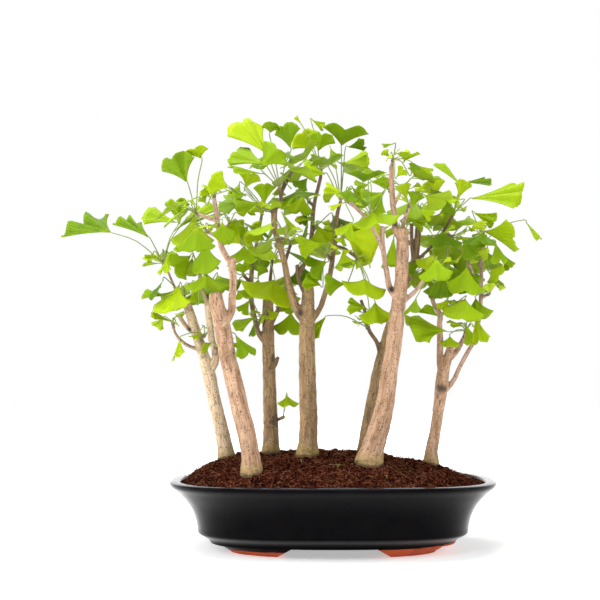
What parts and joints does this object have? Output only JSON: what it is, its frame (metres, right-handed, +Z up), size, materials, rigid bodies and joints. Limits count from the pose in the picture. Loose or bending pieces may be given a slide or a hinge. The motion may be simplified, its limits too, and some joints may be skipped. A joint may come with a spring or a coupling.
{
  "type": "ginkgo bonsai",
  "caption": "Bonsai forest of young ginkgo trees in spring leaf, with upright and leaning trunks, planted on a soil mound in an oval glazed tray on feet.",
  "frame": {"origin": "on the ground under the middle of the bounding box, so that the tray's centre lies 39 mm towards +X of it", "axes": "+X to the right along the tray's length, +Y to the back, +Z up; the front is seen from -Y"},
  "size_m": [0.6037, 0.2988, 0.5422],
  "materials": {
    "tray_glaze": "gloss",
    "soil": "matte",
    "pale_bark": "matte",
    "brown_bark": "matte",
    "leaf": "satin"
  },
  "bodies": {
    "root": {"soil": "soil", "tray": "tray_glaze", "tree_1_spray_1": "leaf", "tree_1_spray_2": "leaf", "tree_1_spray_3": "leaf", "tree_1_spray_4": "leaf", "tree_1_spray_5": "leaf", "tree_1_spray_6": "leaf", "tree_1_spray_7": "leaf", "tree_1_wood": "pale_bark", "tree_2_spray_1": "leaf", "tree_2_spray_2": "leaf", "tree_2_spray_3": "leaf", "tree_2_spray_4": "leaf", "tree_2_wood": "pale_bark", "tree_3_spray_1": "leaf", "tree_3_spray_2": "leaf", "tree_3_spray_3": "leaf", "tree_3_spray_4": "leaf", "tree_3_spray_5": "leaf", "tree_3_spray_6": "leaf", "tree_3_spray_7": "leaf", "tree_3_wood": "brown_bark", "tree_4_spray_1": "leaf", "tree_4_spray_10": "leaf", "tree_4_spray_11": "leaf", "tree_4_spray_12": "leaf", "tree_4_spray_2": "leaf", "tree_4_spray_3": "leaf", "tree_4_spray_4": "leaf", "tree_4_spray_5": "leaf", "tree_4_spray_6": "leaf", "tree_4_spray_7": "leaf", "tree_4_spray_8": "leaf", "tree_4_spray_9": "leaf", "tree_4_wood": "brown_bark", "tree_5_spray_1": "leaf", "tree_5_spray_2": "leaf", "tree_5_spray_3": "leaf", "tree_5_spray_4": "leaf", "tree_5_spray_5": "leaf", "tree_5_spray_6": "leaf", "tree_5_spray_7": "leaf", "tree_5_spray_8": "leaf", "tree_5_wood": "brown_bark", "tree_6_spray_1": "leaf", "tree_6_spray_2": "leaf", "tree_6_spray_3": "leaf", "tree_6_spray_4": "leaf", "tree_6_spray_5": "leaf", "tree_6_spray_6": "leaf", "tree_6_wood": "pale_bark", "tree_7_spray_1": "leaf", "tree_7_spray_2": "leaf", "tree_7_spray_3": "leaf", "tree_7_spray_4": "leaf", "tree_7_spray_5": "leaf", "tree_7_spray_6": "leaf", "tree_7_spray_7": "leaf", "tree_7_wood": "pale_bark"}
  },
  "joints": []
}
